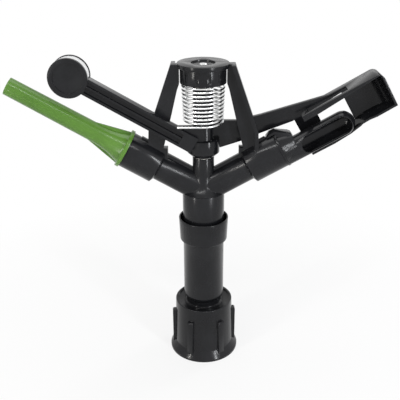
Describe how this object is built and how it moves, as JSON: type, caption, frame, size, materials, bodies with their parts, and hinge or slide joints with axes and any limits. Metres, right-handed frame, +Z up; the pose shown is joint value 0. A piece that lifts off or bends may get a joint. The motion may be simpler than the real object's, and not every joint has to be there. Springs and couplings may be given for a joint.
{
  "type": "impact sprinkler",
  "caption": "Nylon impact sprinkler: swivel base with a female pipe inlet, rotating head with a long range nozzle and a drive nozzle, and a sprung impact arm with a spoon and a weight.",
  "frame": {"origin": "centre of the inlet nut's lower face, on the swivel axis", "axes": "+Z up along the swivel axis; the range nozzle points to -X and up, the drive nozzle and the spoon to +X and up; -Y is the side that shows the weight's round face"},
  "size_m": [0.2657, 0.0522, 0.2315],
  "materials": {
    "black_nylon": "satin",
    "green_nylon": "satin",
    "stainless": "bright",
    "plated_steel": "bright",
    "white_acetal": "satin",
    "seal_rubber": "matte"
  },
  "bodies": {
    "base": {"inlet_nut": "black_nylon", "inlet_gasket": "seal_rubber", "bearing_sleeve": "black_nylon", "sleeve_bush": "white_acetal", "spring_seat_washer": "stainless", "sliding_washer": "stainless", "seal_washer": "seal_rubber", "bearing_spring": "stainless"},
    "head": {"body": "black_nylon", "swivel_tube": "white_acetal", "wear_washer": "white_acetal", "tube_o_ring": "seal_rubber", "range_straightener": "white_acetal", "drive_straightener": "white_acetal", "range_nozzle_seal": "seal_rubber", "drive_nozzle_seal": "seal_rubber", "range_nozzle": "green_nylon", "drive_nozzle": "black_nylon", "pivot_pin": "stainless", "pin_clip": "stainless", "hub_washer": "white_acetal", "top_washer": "white_acetal"},
    "tension": {"tension_ring": "black_nylon"},
    "arm": {"impact_arm": "black_nylon", "lower_arm_bush": "white_acetal", "upper_arm_bush": "white_acetal", "weight_slug": "plated_steel", "weight_cover": "black_nylon", "weight_screw": "stainless", "return_spring": "stainless"}
  },
  "joints": [
    {"name": "head_spin", "type": "hinge", "parent": "base", "child": "head", "pos_m": [0, 0, 0.07], "axis": [0, 0, 1], "continuous": true},
    {"name": "arm_swing", "type": "hinge", "parent": "head", "child": "arm", "pos_m": [0, 0, 0.185], "axis": [0, 0, 1], "range_deg": [0, 110], "stiffness_Nm_per_rad": 0.02, "springref_deg": -22.92, "deforming": ["return_spring"]},
    {"name": "tension_turn", "type": "hinge", "parent": "head", "child": "tension", "pos_m": [0, 0, 0.218], "axis": [0, 0, 1], "range_deg": [-30, 30]}
  ]
}
